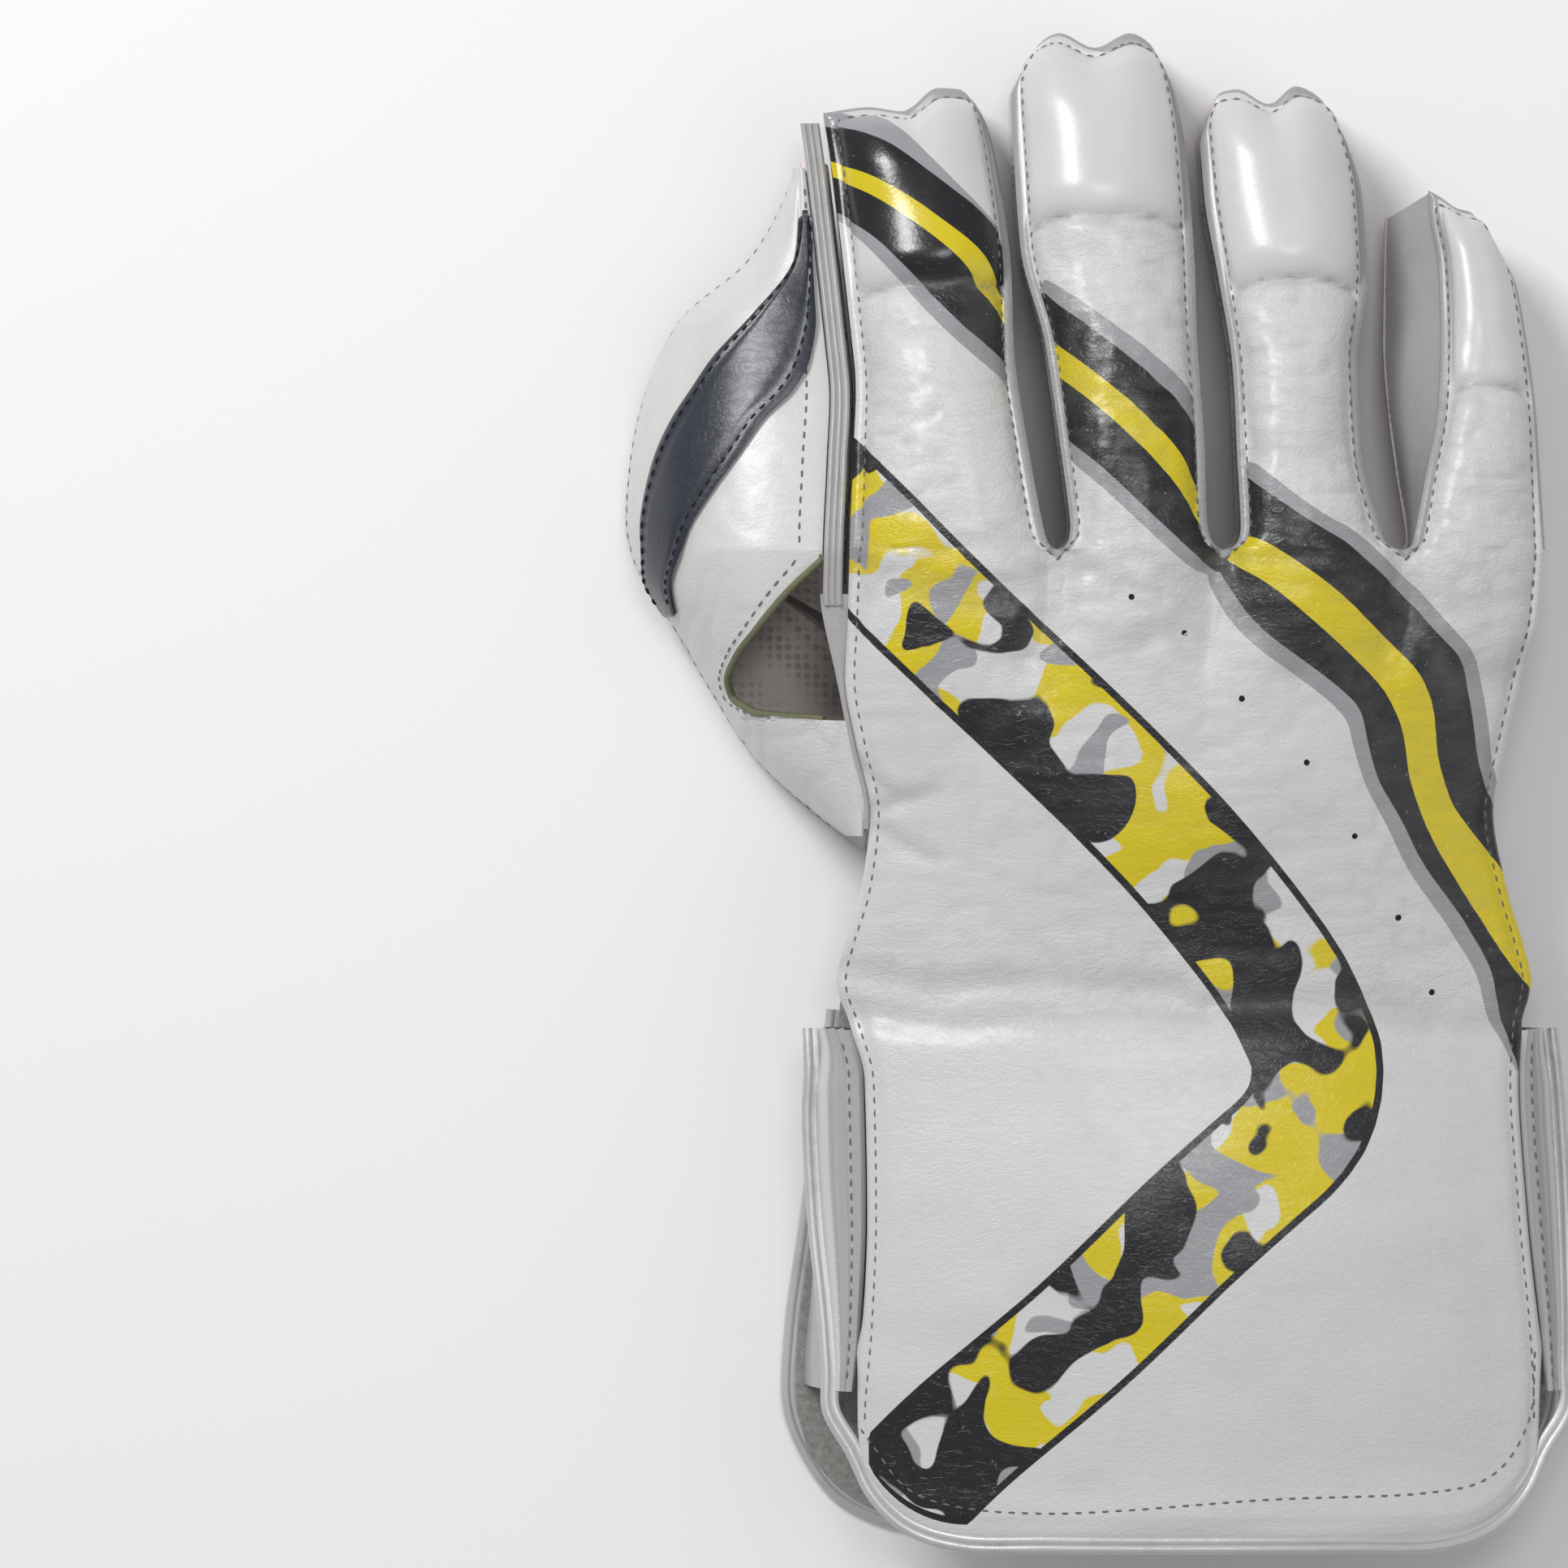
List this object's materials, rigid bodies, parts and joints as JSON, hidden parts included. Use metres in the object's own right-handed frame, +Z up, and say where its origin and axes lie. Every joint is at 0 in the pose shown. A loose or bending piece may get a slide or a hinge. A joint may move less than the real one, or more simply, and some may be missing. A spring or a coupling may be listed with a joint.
{
  "type": "wicketkeeping glove",
  "caption": "Wicketkeeping glove for the right hand: padded leather back and fingers, pimpled rubber palm, web to the thumb and an open cuff, with stripes and a patterned sash on the back",
  "frame": {"origin": "middle of the footprint, on the surface that the glove lies on", "axes": "X across the hand with the thumb at -X, Y from the cuff's hem to the fingertips, Z up through the back of the hand"},
  "size_m": [0.2094, 0.3338, 0.0528],
  "materials": {
    "white_leather": "pearly semi-gloss leather, printed with stripes and a sash on the back",
    "grey_leather": "smooth semi-gloss leather",
    "pimpled_rubber": "matt rubber with rows of small pimples",
    "navy_leather": "semi-gloss leather, stitched along both edges",
    "silver_piping": "silvery satin piping",
    "grey_fleece": "brushed lining cloth"
  },
  "bodies": {
    "root": {"back_panel": "white_leather", "web_thumb_back": "white_leather", "cuff_palm_panel": "white_leather", "index_side_gusset": "grey_leather", "gusset_index_middle": "grey_leather", "gusset_middle_ring": "grey_leather", "gusset_ring_little": "grey_leather", "little_side_gusset": "grey_leather", "index_seam_strip": "grey_leather", "cuff_side_left": "grey_leather", "cuff_side_right": "grey_leather", "palm_rubber": "pimpled_rubber", "web_rubber": "pimpled_rubber", "navy_insert": "navy_leather", "hem_piping_front": "silver_piping", "hem_piping_palm": "silver_piping", "wrist_lining": "grey_fleece"}
  },
  "joints": []
}
